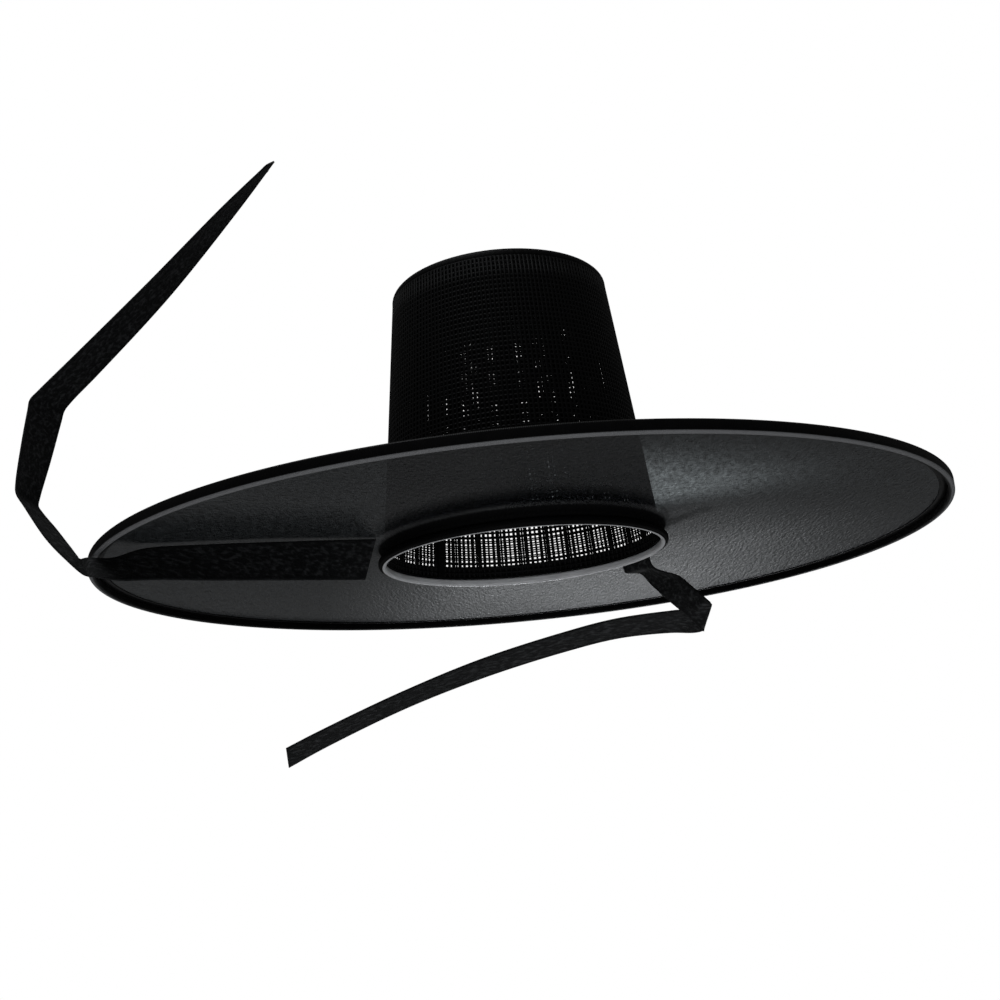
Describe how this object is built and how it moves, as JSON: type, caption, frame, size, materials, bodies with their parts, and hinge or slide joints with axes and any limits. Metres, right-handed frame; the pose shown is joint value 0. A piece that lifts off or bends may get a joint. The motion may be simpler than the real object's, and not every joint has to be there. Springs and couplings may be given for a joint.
{
  "type": "korean gat hat",
  "caption": "Wide-brimmed black woven hat with a tall tapered open-weave crown, a pale head ring, a bound brim edge and two free ribbon ties.",
  "frame": {"origin": "centre of the head opening, level with the lowest line of the head ring", "axes": "+Z along the crown's axis, from the head up to the crown's top; -Y is the near side in the picture, +X is its right"},
  "size_m": [0.5139, 0.5, 0.3426],
  "materials": {
    "horsehair": "open woven black horsehair, satin",
    "woven_brim": "fine translucent black weave, lacquered",
    "black_lacquer": "tightly bound black edge, satin",
    "pale_hoop": "smooth grey split-bamboo hoop",
    "crepe_ribbon": "crinkled black crepe, matte"
  },
  "bodies": {
    "root": {"crown_wall": "horsehair", "crown_top": "horsehair", "crown_seam": "horsehair", "head_ring": "pale_hoop", "brim": "woven_brim", "brim_rim": "black_lacquer", "ribbon_left": "crepe_ribbon", "ribbon_right": "crepe_ribbon"}
  },
  "joints": []
}
